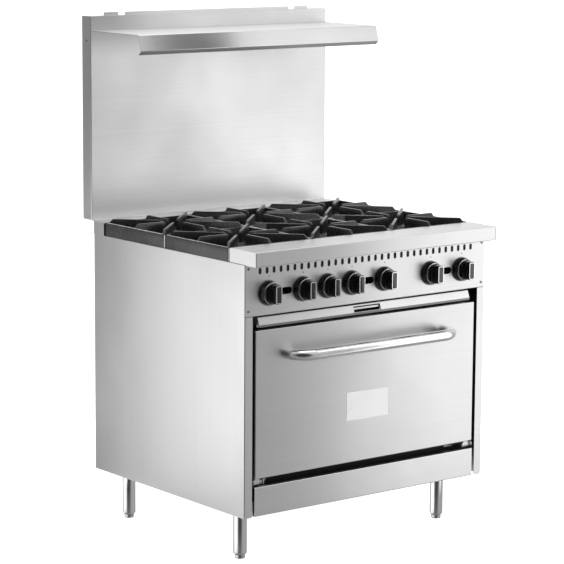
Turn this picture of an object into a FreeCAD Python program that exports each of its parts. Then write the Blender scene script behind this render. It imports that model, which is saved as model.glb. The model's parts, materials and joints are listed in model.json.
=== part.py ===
import FreeCAD, Part
import math
import os
from types import SimpleNamespace

import Sketcher
from FreeCAD import Rotation, Vector

# A 36 inch restaurant gas range: six open burners over one oven, with a flue riser and a high shelf.
# X runs left to right, Y front to back and Z up. The floor is Z = 0 and the overall box is centred
# on X = Y = 0. Every Y below is a depth behind the front plane of the body, which lies at FrontPlane.

DIMENSIONS = {
    # body
    "BodyWidth": 914.4,
    "BodyDepth": 768.0,
    "FrontPlane": -375.0,
    "LegHeight": 153.5,
    "DeckHeight": 888.7,
    "SheetGauge": 1.5,
    "BendRadius": 3.0,
    "RunningGap": 0.3,
    "StileWidth": 28.2,
    "StileTop": 739.0,
    # front ledge and rear trim
    "LedgeReach": 50.0,
    "LedgeBack": 71.0,
    "LedgeTop": 931.0,
    "TrimFront": 713.0,
    "TrimTop": 928.7,
    # flue riser and shelf
    "RiserFront": 780.0,
    "RiserDepth": 46.0,
    "RiserBottom": 929.0,
    "RiserTop": 1550.0,
    "RiserHalf": 457.0,
    "RibHeight": 10.0,
    "ShelfTop": 1507.0,
    "ShelfFront": 525.0,
    "ShelfHalf": 456.0,
    "ShelfDrop": 47.0,
    "ShelfLean": 14.0,
    # grates and burners
    "GrateWidth": 303.0,
    "GrateDepth": 315.0,
    "GrateRim": 41.0,
    "GrateWall": 6.0,
    "GrateCorner": 9.0,
    "FingerRise": 12.0,
    "FingerWidth": 8.0,
    "FingerGap": 38.0,
    "BowlHole": 70.0,
    "ColumnPitch": 305.0,
    "FrontRow": 233.5,
    "RearRow": 551.5,
    "BurnerRadius": 44.0,
    "BurnerTop": 908.0,
    "PilotHeight": 833.0,
    # control panel
    "PanelFold": 22.0,
    "KnobHeight": 802.4,
    "KnobShift": -4.0,
    "KnobOffset": 62.0,
    "ThermostatX": -156.5,
    "KnobRadius": 37.0,
    "KnobReach": 48.0,
    "GripWidth": 24.5,
    "GripLength": 55.0,
    "StemRadius": 4.0,
    "StemClearance": 0.05,
    "PortLength": 40.0,
    "PortShift": -3.5,
    "PortHeight": 20.5,
    "PortCentre": 803.3,
    "SlotWidth": 10.4,
    "SlotLength": 19.0,
    "SlotPitch": 25.06,
    "SlotShift": -2.5,
    "SlotCentre": 868.2,
    "PipeRadius": 13.335,
    "ManifoldHeight": 772.0,
    "ManifoldDepth": 38.0,
    "InletX": 408.0,
    "GasLineDepth": 72.0,
    "GasLineHeight": 222.0,
    # drip tray
    "TrayHalf": 402.0,
    "TrayLipTop": 732.0,
    "TrayLipBottom": 711.0,
    "TrayFloor": 702.3,
    "NotchHalf": 51.0,
    # oven and door
    "CavityHalf": 336.6,
    "CavityBottom": 290.0,
    "CavityTop": 646.0,
    "CavityDepth": 660.0,
    "FrameDepth": 50.0,
    "DoorHalf": 418.5,
    "DoorBottom": 264.0,
    "DoorTop": 697.0,
    "DoorPanDepth": 22.0,
    "DoorDepth": 42.0,
    "PivotDepth": 12.0,
    "PivotHeight": 253.0,
    "PinRadius": 4.0,
    "HingeX": 402.0,
    "HandleHeight": 620.0,
    "HandleHalf": 304.0,
    "HandleReach": 59.5,
    "HandleRadius": 16.5,
    "HandleBend": 59.0,
    "BadgeWidth": 164.0,
    "BadgeHeight": 86.0,
    "BadgeCentre": 433.0,
    "BadgeGauge": 1.0,
    "KickTop": 240.0,
    "KickHalf": 419.5,
    # legs
    "LegX": 382.0,
    "LegFront": 118.0,
    "LegRear": 693.0,
    "LegRadius": 20.6,
    "LegBottom": 12.0,
    "LegChamfer": 5.0,
    "FootRadius": 15.0,
    "FootStem": 8.0,
}

doc = FreeCAD.newDocument("GasRange")
sheet = doc.addObject("Spreadsheet::Sheet", "Dims")
for row, (alias, number) in enumerate(DIMENSIONS.items(), start=1):
    sheet.set(f"A{row}", alias)
    sheet.set(f"B{row}", str(number))
    sheet.setAlias(f"B{row}", alias)
doc.recompute()


class Size:
    """A length that carries both its number and the spreadsheet expression that gives it."""

    def __init__(self, text, number):
        self.text = text
        self.number = number

    def __add__(self, other):
        other = size(other)
        return Size(f"({self.text} + {other.text})", self.number + other.number)

    def __sub__(self, other):
        other = size(other)
        return Size(f"({self.text} - {other.text})", self.number - other.number)

    def __mul__(self, factor):
        return Size(f"({self.text} * {factor})", self.number * factor)

    def __truediv__(self, divisor):
        return Size(f"({self.text} / {divisor})", self.number / divisor)

    def __radd__(self, other):
        return size(other) + self

    def __rsub__(self, other):
        return size(other) - self

    def __rmul__(self, factor):
        return self * factor

    def __neg__(self):
        return Size(f"(0 - {self.text})", -self.number)


def size(value):
    return value if isinstance(value, Size) else Size(f"({value})", float(value))


D = SimpleNamespace(**{alias: Size(f"Dims.{alias}", number) for alias, number in DIMENSIONS.items()})
HALF = D.BodyWidth / 2
INSIDE = HALF - D.SheetGauge
COLUMNS = {"left": -D.ColumnPitch, "centre": size(0), "right": D.ColumnPitch}
ROWS = {"front": D.FrontRow, "rear": D.RearRow}
SIDES = {"left": -1, "right": 1}
nodes = []


# ---------------------------------------------------------------- helpers

def bind(obj, prop, value):
    obj.setExpression(prop, size(value).text)


def place(obj, x=0, y=0, z=0):
    for axis, value in zip("xyz", (x, y, z)):
        bind(obj, f"Placement.Base.{axis}", value)
    return obj


def finish_node(obj, label, x=0, y=0, z=0):
    """Names a sub-part and puts its front-plane coordinates into the range's own frame."""
    obj.Label = label
    place(obj, x, D.FrontPlane + y, z)
    nodes.append(obj)
    return obj


def block(x0, x1, y0, y1, z0, z1):
    box = doc.addObject("Part::Box", "Block")
    bind(box, "Length", size(x1) - x0)
    bind(box, "Width", size(y1) - y0)
    bind(box, "Height", size(z1) - z0)
    return place(box, x0, y0, z0)


def mirrored_block(side, x0, x1, y0, y1, z0, z1):
    """A block on the left (side = -1) or right (side = 1), its X given outwards from the middle."""
    if side > 0:
        return block(x0, x1, y0, y1, z0, z1)
    return block(-size(x1), -size(x0), y0, y1, z0, z1)


AXIS_TURNS = {
    "x": Rotation(Vector(0, 1, 0), 90),
    "y": Rotation(Vector(1, 0, 0), -90),
    "z": Rotation(),
}


def rod(axis, radius, x, y, z, length):
    """A cylinder that starts at x, y, z and runs along an axis."""
    cylinder = doc.addObject("Part::Cylinder", "Rod")
    cylinder.Placement.Rotation = AXIS_TURNS[axis]
    bind(cylinder, "Radius", radius)
    bind(cylinder, "Height", length)
    return place(cylinder, x, y, z)


def cone(axis, radius0, radius1, x, y, z, length):
    taper = doc.addObject("Part::Cone", "Taper")
    taper.Placement.Rotation = AXIS_TURNS[axis]
    bind(taper, "Radius1", radius0)
    bind(taper, "Radius2", radius1)
    bind(taper, "Height", length)
    return place(taper, x, y, z)


def ball(radius, x, y, z):
    sphere = doc.addObject("Part::Sphere", "Ball")
    bind(sphere, "Radius", radius)
    return place(sphere, x, y, z)


def fuse(*shapes):
    joined = doc.addObject("Part::MultiFuse", "Joined")
    joined.Shapes = list(shapes)
    joined.Refine = True
    return joined


def group(*shapes):
    compound = doc.addObject("Part::Compound", "Group")
    compound.Links = list(shapes)
    return compound


def cut(base, *tools):
    result = doc.addObject("Part::Cut", "Hollowed")
    result.Base = base
    result.Tool = tools[0] if len(tools) == 1 else group(*tools)
    return result


def new_body(name):
    return doc.addObject("PartDesign::Body", name)


def origin_feature(body, role):
    return next(item for item in body.Origin.OriginFeatures if item.Role == role)


def sketch_on(body, role, offset=0):
    sketch = body.newObject("Sketcher::SketchObject", "Sketch")
    sketch.AttachmentSupport = (origin_feature(body, role), [""])
    sketch.MapMode = "FlatFace"
    bind(sketch, "AttachmentOffset.Base.z", offset)
    return sketch


def hold(sketch, geometry, vertex, u=None, v=None):
    """Ties a sketch vertex to one or both of its coordinates."""
    for kind, value, axis in (("DistanceX", u, -2), ("DistanceY", v, -1)):
        if value is None:
            continue
        value = size(value)
        if value.number == 0:
            sketch.addConstraint(Sketcher.Constraint("PointOnObject", geometry, vertex, axis))
            continue
        index = sketch.addConstraint(
            Sketcher.Constraint(kind, -1, 1, geometry, vertex, value.number))
        sketch.setExpression(f"Constraints[{index}]", value.text)


def outline(sketch, corners, arcs=None, closed=True):
    """Joins the corners in order, each corner held at its own coordinates.

    A side is straight, unless arcs has its number: then it is an anticlockwise arc about the centre
    given there. The arc's ends fix its centre but for one coordinate, which "hold" names.
    """
    arcs = arcs or {}
    points = [(size(u), size(v)) for u, v in corners]
    ends = points[1:] + points[:1] if closed else points[1:]
    first = sketch.GeometryCount
    for index, ((u0, v0), (u1, v1)) in enumerate(zip(points, ends)):
        start, end = Vector(u0.number, v0.number, 0), Vector(u1.number, v1.number, 0)
        if index in arcs:
            centre = Vector(size(arcs[index]["u"]).number, size(arcs[index]["v"]).number, 0)
            angles = [math.atan2((point - centre).y, (point - centre).x) for point in (start, end)]
            whole = Part.Circle(centre, Vector(0, 0, 1), (start - centre).Length)
            sketch.addGeometry(Part.ArcOfCircle(whole, *angles), False)
        else:
            sketch.addGeometry(Part.LineSegment(start, end), False)
    last = first + len(ends) - 1
    for index in range(first, last):
        sketch.addConstraint(Sketcher.Constraint("Coincident", index, 2, index + 1, 1))
    if closed:
        sketch.addConstraint(Sketcher.Constraint("Coincident", last, 2, first, 1))
    for index, (u, v) in zip(range(first, last + 1), points):
        hold(sketch, index, 1, u, v)
    if not closed:
        hold(sketch, last, 2, *points[-1])
    for index, arc in arcs.items():
        hold(sketch, first + index, 3, **{arc["hold"]: arc[arc["hold"]]})


def rectangle(sketch, u0, u1, v0, v1):
    outline(sketch, [(u0, v0), (u1, v0), (u1, v1), (u0, v1)])


def rounded_rectangle(sketch, u0, u1, v0, v1, radius):
    u0, u1, v0, v1, radius = (size(value) for value in (u0, u1, v0, v1, radius))
    near_u, far_u, near_v, far_v = u0 + radius, u1 - radius, v0 + radius, v1 - radius
    outline(sketch, [(near_u, v0), (far_u, v0), (u1, near_v), (u1, far_v),
                     (far_u, v1), (near_u, v1), (u0, far_v), (u0, near_v)],
            {1: {"u": far_u, "v": near_v, "hold": "u"}, 3: {"u": far_u, "v": far_v, "hold": "u"},
             5: {"u": near_u, "v": far_v, "hold": "u"}, 7: {"u": near_u, "v": near_v, "hold": "u"}})


def circle(sketch, u, v, radius):
    u, v, radius = size(u), size(v), size(radius)
    index = sketch.addGeometry(
        Part.Circle(Vector(u.number, v.number, 0), Vector(0, 0, 1), radius.number), False)
    hold(sketch, index, 3, u, v)
    bound = sketch.addConstraint(Sketcher.Constraint("Radius", index, radius.number))
    sketch.setExpression(f"Constraints[{bound}]", radius.text)


def pad(body, sketch, length, both_ways=False, backwards=False):
    feature = body.newObject("PartDesign::Pad", "Pad")
    feature.Profile = sketch
    feature.Midplane = both_ways
    feature.Reversed = backwards
    bind(feature, "Length", length)
    return feature


def pocket(body, sketch, depth, both_ways=False, backwards=False):
    feature = body.newObject("PartDesign::Pocket", "Pocket")
    feature.Profile = sketch
    feature.Midplane = both_ways
    feature.Reversed = backwards
    bind(feature, "Length", depth)
    return feature


def revolve(body, sketch, axis="V_Axis"):
    feature = body.newObject("PartDesign::Revolution", "Revolution")
    feature.Profile = sketch
    feature.ReferenceAxis = (sketch, [axis])
    feature.Angle = 360
    return feature


def round_edges(body, feature, radius, wanted):
    """Fillets each edge of a feature whose midpoint and direction pass the test."""
    doc.recompute()
    names = []
    for number, edge in enumerate(feature.Shape.Edges, start=1):
        if len(edge.Vertexes) != 2:
            continue
        start, end = (vertex.Point for vertex in edge.Vertexes)
        if wanted(edge, (start + end) * 0.5, (end - start).normalize()):
            names.append(f"Edge{number}")
    fillet = body.newObject("PartDesign::Fillet", "Fillet")
    fillet.Base = (feature, names)
    bind(fillet, "Radius", radius)
    return fillet


def outward(face, point):
    return face.normalAt(*face.Surface.parameter(point))


def round_bends(body, feature, run):
    """Rounds the bends of folded sheet that was padded along the run direction.

    A face as wide as the sheet is thick is a cut edge, and keeps its corners. Of the rest, an
    outside corner gets the full bend radius and an inside corner that radius less the gauge.
    """
    doc.recompute()
    shape = feature.Shape
    gauge = D.SheetGauge.number

    def is_bend(edge, middle, direction, outside):
        if abs(direction.dot(run)) < 0.999:
            return False
        first, second = shape.ancestorsOfType(edge, Part.Face)
        if min(face.Area / edge.Length for face in (first, second)) < gauge * 1.1:
            return False
        inward = first.CenterOfMass - middle
        return (inward.dot(outward(second, middle)) < 0) == outside

    outer = round_edges(body, feature, D.BendRadius,
                        lambda edge, middle, way: is_bend(edge, middle, way, True))
    doc.recompute()
    shape = outer.Shape
    return round_edges(body, outer, D.BendRadius - D.SheetGauge,
                       lambda edge, middle, way: is_bend(edge, middle, way, False))


def folded_strip(corners, thickness):
    """Closes an open line of axis-aligned folds into the outline of sheet of that thickness.

    The sheet lies to the left of the line as it runs from corner to corner.
    """
    points = [(size(u), size(v)) for u, v in corners]
    ways = []
    for (u0, v0), (u1, v1) in zip(points, points[1:]):
        du, dv = u1.number - u0.number, v1.number - v0.number
        ways.append((0 if abs(du) < 1e-9 else du / abs(du), 0 if abs(dv) < 1e-9 else dv / abs(dv)))
    inner = []
    for index, (u, v) in enumerate(points):
        near = ways[max(index - 1, 0)], ways[min(index, len(ways) - 1)]
        lefts = {(-dv, du) for du, dv in near}
        inner.append((u + thickness * sum(left[0] for left in lefts),
                      v + thickness * sum(left[1] for left in lefts)))
    return points + inner[::-1]


# ---------------------------------------------------------------- cabinet

def make_side_panel(name, side):
    """Side wall with the front stile, a rear return and a top flange that the grates rest on."""
    body = new_body(f"{name}_side_sheet")
    line = [(HALF - D.StileWidth, 0), (HALF, 0), (HALF, D.BodyDepth), (HALF - 25, D.BodyDepth)]
    section = folded_strip(line, D.SheetGauge)
    sketch = sketch_on(body, "XY_Plane", D.LegHeight)
    outline(sketch, [(u * side, v) for u, v in section])
    wall = pad(body, sketch, D.DeckHeight - D.LegHeight)
    round_bends(body, wall, Vector(0, 0, 1))
    flange = mirrored_block(side, HALF - 20, INSIDE, D.PanelFold + 2, D.BodyDepth - 5,
                            D.DeckHeight - D.SheetGauge, D.DeckHeight)
    panel_seat = mirrored_block(side, HALF - D.StileWidth - 2, INSIDE, -1, D.SheetGauge + 2,
                                D.StileTop, D.DeckHeight + 1)
    finish_node(cut(fuse(body, flange), panel_seat), f"{name}_side_panel")


def make_back_panel():
    sheet_y = D.BodyDepth - D.SheetGauge * 2 - 0.3
    half = INSIDE - 2
    plate = block(-half, half, sheet_y, sheet_y + D.SheetGauge, D.LegHeight, D.DeckHeight)
    flue_hole = block(-152, 152, sheet_y - 2, sheet_y + 5, 588, 642)
    pipe_hole = rod("y", 20, D.InletX, sheet_y - 2, D.ManifoldHeight, 8)
    finish_node(cut(plate, flue_hole, pipe_hole), "back_panel")


def make_base_frame():
    """Welded U-channel chassis with the upstands that carry the oven and a socket at each leg."""
    wall = 2.5
    low, high = D.LegHeight, D.LegHeight + 40
    pieces = []
    hollows = []
    for side in SIDES.values():
        pieces.append(mirrored_block(side, 352, 412, 18, 762, low, high))
        hollows.append(mirrored_block(side, 352 + wall, 412 - wall, 18 + wall, 762 - wall,
                                      low + wall, high + 1))
        pieces.append(mirrored_block(side, 352, 352 + wall, 60, 740, low, D.KickTop - 3))
    for y0 in (18, 722):
        pieces.append(block(-353, 353, y0, y0 + 40, low, high))
        hollows.append(block(-356, 356, y0 + wall, y0 + 40 - wall, low + wall, high + 1))
    hollows.append(rod("x", 8, -360, D.GasLineDepth, D.GasLineHeight, 12))
    sockets = []
    for side in SIDES.values():
        for y in (D.LegFront, D.LegRear):
            sockets.append(cut(rod("z", 26, D.LegX * side, y, low, 22),
                               rod("z", D.LegRadius - 3, D.LegX * side, y, low - 1, 24)))
            hollows.append(rod("z", D.LegRadius - 3, D.LegX * side, y, low - 1, 5))
    finish_node(fuse(cut(fuse(*pieces), *hollows), *sockets), "base_frame")


def make_legs():
    """Four steel tubes, each closed at the bottom by a plug that the foot's stem screws into."""
    legs = []
    for side in SIDES.values():
        for y in (D.LegFront, D.LegRear):
            shoulder = D.LegBottom + D.LegChamfer
            tube = rod("z", D.LegRadius, 0, 0, shoulder, D.LegHeight - shoulder)
            tip = cone("z", D.LegRadius - D.LegChamfer * 0.8, D.LegRadius, 0, 0, D.LegBottom,
                       D.LegChamfer)
            spigot = rod("z", D.LegRadius - 3, 0, 0, D.LegHeight - 1, 18)
            bore = rod("z", D.LegRadius - 5, 0, 0, D.LegBottom + 20, D.LegHeight)
            stem_hole = rod("z", D.FootStem + D.StemClearance, 0, 0, D.LegBottom - 1, 30)
            leg = cut(fuse(tube, tip, spigot), bore, stem_hole)
            legs.append(place(leg, D.LegX * side, y, 0))
    finish_node(group(*legs), "legs")


def make_foot(name, side, y):
    """A levelling foot: a short turned pad under the leg, with its screw stem on top."""
    body = new_body(f"foot_{name}")
    sketch = sketch_on(body, "XZ_Plane")
    top = D.LegBottom - D.RunningGap
    outline(sketch, [
        (0, 0), (D.FootRadius - 2.5, 0), (D.FootRadius, 2.5), (D.FootRadius, top),
        (D.FootStem, top), (D.FootStem, 78), (D.FootStem - 2, 80), (0, 80),
    ])
    revolve(body, sketch)
    finish_node(body, f"foot_{name}", D.LegX * side, y, 0)


def make_front_ledge():
    """The landing ledge: a box of folded sheet, open underneath behind the control panel."""
    body = new_body("front_ledge_sheet")
    sketch = sketch_on(body, "YZ_Plane")
    line = [(0, D.DeckHeight), (-D.LedgeReach, D.DeckHeight), (-D.LedgeReach, D.LedgeTop),
            (D.LedgeBack, D.LedgeTop), (D.LedgeBack, D.DeckHeight + 2)]
    outline(sketch, folded_strip(line[::-1], D.SheetGauge))
    wall = pad(body, sketch, D.BodyWidth - D.SheetGauge * 2, both_ways=True)
    round_bends(body, wall, Vector(1, 0, 0))
    ends = []
    for side in SIDES.values():
        end = mirrored_block(side, INSIDE - 0.5, HALF, -D.LedgeReach, D.LedgeBack,
                             D.DeckHeight + 1.8, D.LedgeTop)
        rounded = doc.addObject("Part::Fillet", "RoundedEnd")
        rounded.Base = end
        doc.recompute()
        rounded.Edges = [
            (number, D.BendRadius.number, D.BendRadius.number)
            for number, edge in enumerate(end.Shape.Edges, start=1)
            if abs(edge.Vertexes[0].X - edge.Vertexes[1].X) > 1
            and edge.Vertexes[0].Z > D.DeckHeight.number + 3
        ]
        ends.append(rounded)
    finish_node(fuse(body, *ends), "front_ledge")


def make_rear_trim():
    body = new_body("rear_trim_sheet")
    sketch = sketch_on(body, "YZ_Plane")
    line = [(D.BodyDepth, D.DeckHeight), (D.BodyDepth, D.TrimTop),
            (D.TrimFront, D.TrimTop), (D.TrimFront, D.DeckHeight)]
    outline(sketch, folded_strip(line, D.SheetGauge))
    wall = pad(body, sketch, D.BodyWidth, both_ways=True)
    round_bends(body, wall, Vector(1, 0, 0))
    ends = [mirrored_block(side, INSIDE, HALF, D.TrimFront + 1, D.BodyDepth - 1,
                           D.DeckHeight, D.TrimTop - 1) for side in SIDES.values()]
    finish_node(fuse(body, *ends), "rear_trim")


def make_top_rails():
    """Cross angles under the grates, and the flat bars that the burners sit on.

    The front angle has a deep apron at its back, which closes off the vent slots from behind.
    """
    half, high = HALF - 20.5, D.DeckHeight
    rails = []
    for y0, y1 in ((72.5, 96), (378, 407), (690, 712)):
        flats = [block(-half, half, y0, y1, high - 2, high),
                 block(-half, half, y0, y0 + 2, high - 20, high)]
        if y0 == 72.5:
            flats.append(block(-half, half, y1 - 2, y1, D.PilotHeight + 4, high))
        rails.append(fuse(*flats))
    bar = D.KnobHeight - 16.5
    rails += [block(-INSIDE + 0.3, INSIDE - 0.3, y - 15, y + 15, bar, bar + 2.5)
              for y in ROWS.values()]
    finish_node(group(*rails), "top_rails")


# ---------------------------------------------------------------- control panel

def obround(sketch, u, v, length, height):
    """A slot with round ends: lying along the first sketch axis, or upright if it is taller."""
    u, v, length, height = size(u), size(v), size(length), size(height)
    if height.number > length.number:
        radius = length / 2
        low, high = v - height / 2 + radius, v + height / 2 - radius
        outline(sketch, [(u + radius, low), (u + radius, high), (u - radius, high),
                         (u - radius, low)],
                {1: {"u": u, "v": high, "hold": "v"}, 3: {"u": u, "v": low, "hold": "v"}})
        return
    radius = height / 2
    low, high = u - length / 2 + radius, u + length / 2 - radius
    outline(sketch, [(low, v - radius), (high, v - radius), (high, v + radius),
                     (low, v + radius)],
            {1: {"u": high, "v": v, "hold": "u"}, 3: {"u": low, "v": v, "hold": "u"}})


KNOB_PLACES = {}
for column_name, column_x in COLUMNS.items():
    KNOB_PLACES[f"burner_knob_{column_name}_front"] = column_x + D.KnobShift - D.KnobOffset
    KNOB_PLACES[f"burner_knob_{column_name}_rear"] = column_x + D.KnobShift + D.KnobOffset
KNOB_PLACES["oven_knob"] = D.ThermostatX


def repeat_along_x(body, feature, count, pitch):
    pattern = body.newObject("PartDesign::LinearPattern", "LinearPattern")
    pattern.Originals = [feature]
    pattern.Direction = (origin_feature(body, "X_Axis"), [""])
    pattern.Occurrences = count
    bind(pattern, "Length", size(pitch) * (count - 1))
    body.Tip = pattern
    return pattern


def make_control_panel():
    """Front panel with the row of vent slots, three lighting ports and a hole for each knob stem."""
    body = new_body("control_panel")
    sketch = sketch_on(body, "YZ_Plane")
    top = D.DeckHeight - 0.2
    line = [(D.PanelFold, D.StileTop), (0, D.StileTop), (0, top), (D.PanelFold, top)]
    outline(sketch, folded_strip(line[::-1], D.SheetGauge))
    wall = pad(body, sketch, (INSIDE - 0.3) * 2, both_ways=True)
    round_bends(body, wall, Vector(1, 0, 0))

    slot_count = 33
    sketch = sketch_on(body, "XZ_Plane")
    first = D.SlotShift - D.SlotPitch * ((slot_count - 1) / 2)
    obround(sketch, first, D.SlotCentre, D.SlotWidth, D.SlotLength)
    repeat_along_x(body, pocket(body, sketch, 10, both_ways=True), slot_count, D.SlotPitch)

    sketch = sketch_on(body, "XZ_Plane")
    obround(sketch, D.PortShift - D.ColumnPitch, D.PortCentre, D.PortLength, D.PortHeight)
    repeat_along_x(body, pocket(body, sketch, 10, both_ways=True), 3, D.ColumnPitch)

    sketch = sketch_on(body, "XZ_Plane")
    for x in KNOB_PLACES.values():
        circle(sketch, x, D.KnobHeight, D.StemRadius + 2)
    pocket(body, sketch, 10, both_ways=True)
    finish_node(body, "control_panel")


def make_knob(label, x):
    """A skirted knob with a straight grip bar, moulded round the stem that turns the valve."""
    body = new_body(f"{label}_body")
    sketch = sketch_on(body, "XY_Plane")
    radius, back = D.KnobRadius, 1.0
    outline(sketch, [
        (0, 26), (0, -20.5), (radius * 0.82, -19.5), (radius * 0.85, -18.5), (radius * 0.93, -12),
        (radius * 0.99, -5), (radius, -3), (radius, -back), (D.StemRadius, -back),
        (D.StemRadius, 26),
    ])
    revolve(body, sketch)
    grip = sketch_on(body, "XZ_Plane", 10)
    rounded_rectangle(grip, -D.GripWidth / 2, D.GripWidth / 2,
                      -D.GripLength / 2, D.GripLength / 2, 6)
    pad(body, grip, D.KnobReach - 10)
    finish_node(body, label, x, 0, D.KnobHeight)


def make_valves():
    """A brass valve on the manifold behind each burner knob, with its orifice at the rear."""
    valves = []
    for label, x in KNOB_PLACES.items():
        if label == "oven_knob":
            continue
        block_body = block(x - 14, x + 14, 20, 56, D.ManifoldHeight + 12, D.KnobHeight + 14)
        orifice = rod("y", 6, x, 55, D.KnobHeight, 16)
        stem_hole = rod("y", D.StemRadius + D.StemClearance, x, 10, D.KnobHeight, 20)
        valves.append(cut(fuse(block_body, orifice), stem_hole))
    saddle = rod("x", D.PipeRadius + 0.1, -D.InletX, D.ManifoldDepth, D.ManifoldHeight,
                 D.InletX * 2)
    finish_node(group(*[cut(valve, saddle) for valve in valves]), "gas_valves")

    x = D.ThermostatX
    housing = block(x - 26, x + 26, 20, 66, D.ManifoldHeight + 15, D.KnobHeight + 34)
    stem_hole = rod("y", D.StemRadius + D.StemClearance, x, 10, D.KnobHeight, 20)
    finish_node(cut(fuse(housing, rod("z", 7, x, 52, D.KnobHeight + 33, 12)), stem_hole),
                "oven_thermostat")


def make_manifold():
    """The pipe behind the panel, its run down the right side, and the threaded inlet at the back."""
    x, y, z = D.InletX, D.ManifoldDepth, D.ManifoldHeight
    collar_start = D.BodyDepth - 14
    collar_end = D.BodyDepth + 4
    pipe = fuse(
        rod("x", D.PipeRadius, -x, y, z, x * 2),
        rod("y", D.PipeRadius, x, y, z, collar_start - y + 1),
        ball(D.PipeRadius + 3, x, y, z),
        rod("x", D.PipeRadius + 3, -x - 4, y, z, 20),
        rod("y", D.PipeRadius + 4, x, collar_start, z, collar_end - collar_start),
        rod("y", D.PipeRadius, x, collar_end - 0.5, z, 30.5))
    bore = rod("y", D.PipeRadius - 3, x, collar_start, z, 60)
    finish_node(cut(pipe, bore), "gas_manifold")


def make_burners():
    heads = []
    tubes = []
    pilots = []
    base = D.BurnerTop - 40
    for column in COLUMNS.values():
        for row, y in ROWS.items():
            turn = -1 if row == "front" else 1
            feed_x = column + D.KnobShift + D.KnobOffset * turn
            height = D.KnobHeight
            arm_start = feed_x if turn < 0 else column
            tubes.append(cut(
                fuse(cone("y", 21, 14, feed_x, 76, height, 40),
                     rod("y", 14, feed_x, 115, height, y - 115),
                     ball(14, feed_x, y, height),
                     rod("x", 14, arm_start, y, height, D.KnobOffset + D.KnobShift * turn),
                     rod("z", 27, column, y, height - 14, base - height + 14)),
                rod("y", 9, feed_x, 75, height, 60)))
            radius = D.BurnerRadius
            heads.append(cut(
                fuse(rod("z", 30, column, y, base + 0.1, 8),
                     cone("z", 30, radius, column, y, base + 8, 12),
                     rod("z", radius, column, y, base + 20, 12),
                     cone("z", radius, radius - 8, column, y, base + 32, 8)),
                cone("z", 12, 22, column, y, base + 22, 19)))
        pilot_x = column - 45
        pilots.append(fuse(rod("y", 3, pilot_x, 60, D.PilotHeight, 332),
                           ball(3, pilot_x, 392, D.PilotHeight),
                           rod("z", 3, pilot_x, 392, D.PilotHeight, 866 - D.PilotHeight),
                           rod("z", 5.5, pilot_x, 392, 865, 14)))
    finish_node(group(*heads), "burner_heads")
    finish_node(group(*tubes), "burner_tubes")
    finish_node(group(*pilots), "pilot_burners")


# ---------------------------------------------------------------- grates

def finger_outline(reach):
    """Side view of one finger, from the hooked inner end to the tip that drops to the rim."""
    top = D.GrateRim + D.FingerRise
    inner = D.FingerGap
    return [(inner + 3, 17), (inner, 23), (inner, top - 5), (inner + 5, top),
            (reach - 14, top), (reach - 1, D.GrateRim - 3), (reach - 1, 6), (inner + 45, 6)]


def make_grate(label, x, y):
    """A cast grate: square rim with a bowl in it, and eight fingers that hold the pan."""
    body = new_body(f"{label}_casting")
    half_w, half_d = D.GrateWidth / 2, D.GrateDepth / 2
    sketch = sketch_on(body, "XY_Plane")
    rectangle(sketch, -half_w, half_w, -half_d, half_d)
    outer = pad(body, sketch, D.GrateRim)
    round_edges(body, outer, D.GrateCorner, lambda edge, middle, way: abs(way.z) > 0.99)
    sketch = sketch_on(body, "XY_Plane", 9)
    rectangle(sketch, -half_w + D.GrateWall, half_w - D.GrateWall,
              -half_d + D.GrateWall, half_d - D.GrateWall)
    pocket(body, sketch, D.GrateRim, backwards=True)
    sketch = sketch_on(body, "XY_Plane", 5)
    rectangle(sketch, -half_w + D.GrateWall, half_w - D.GrateWall,
              -half_d + D.GrateWall, half_d - D.GrateWall)
    pocket(body, sketch, 10)
    sketch = sketch_on(body, "XY_Plane", -1)
    circle(sketch, 0, 0, D.BowlHole)
    pocket(body, sketch, 20, backwards=True)

    to_corner = math.hypot((half_w - D.GrateCorner).number, (half_d - D.GrateCorner).number)
    corner_reach = size(to_corner) + D.GrateCorner - 8
    for role, reach, turn, count in (("XZ_Plane", half_w, 0, 2), ("YZ_Plane", half_d, 0, 2),
                                     ("XZ_Plane", corner_reach, 45, 4)):
        sketch = sketch_on(body, role)
        if turn:
            sketch.AttachmentOffset.Rotation = Rotation(Vector(0, 1, 0), turn)
        outline(sketch, finger_outline(reach))
        finger = pad(body, sketch, D.FingerWidth, both_ways=True)
        pattern = body.newObject("PartDesign::PolarPattern", "PolarPattern")
        pattern.Originals = [finger]
        pattern.Axis = (origin_feature(body, "Z_Axis"), [""])
        pattern.Angle = 360
        pattern.Occurrences = count
        body.Tip = pattern
    finish_node(body, label, x, y, D.DeckHeight + D.RunningGap)


# ---------------------------------------------------------------- drip tray

def make_drip_tray():
    """Shallow pull-out pan whose leaning front lip has a finger scoop behind it in the middle."""
    gauge = D.SheetGauge
    pan = cut(block(-D.TrayHalf + 4, D.TrayHalf - 4, 22, 735, D.TrayFloor, D.TrayLipTop),
              block(-D.TrayHalf + 4 + gauge, D.TrayHalf - 4 - gauge, 22 + gauge, 735 - gauge,
                    D.TrayFloor + gauge, D.TrayLipTop + 1))
    body = new_body("tray_lip")
    sketch = sketch_on(body, "YZ_Plane")
    outline(sketch, [
        (22 + gauge, D.TrayLipTop - gauge), (22 + gauge, D.TrayLipTop), (13, D.TrayLipTop),
        (5, D.TrayLipBottom), (5 + gauge, D.TrayLipBottom - 0.5), (13 + gauge, D.TrayLipTop - gauge),
    ])
    pad(body, sketch, D.TrayHalf * 2, both_ways=True)
    hem = block(-D.TrayHalf, D.TrayHalf, 5, 5 + gauge, D.TrayLipBottom - 6, D.TrayLipBottom)
    low, high, half = D.TrayLipBottom - 1, D.TrayLipTop - 4, D.NotchHalf
    scoop = block(-half - 1, half + 1, 22, 46, low - 1, high + 1)
    fingers = block(-half, half, 0, 45, low, high)
    finish_node(cut(fuse(pan, body, hem, scoop), fingers), "drip_tray")


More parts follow.
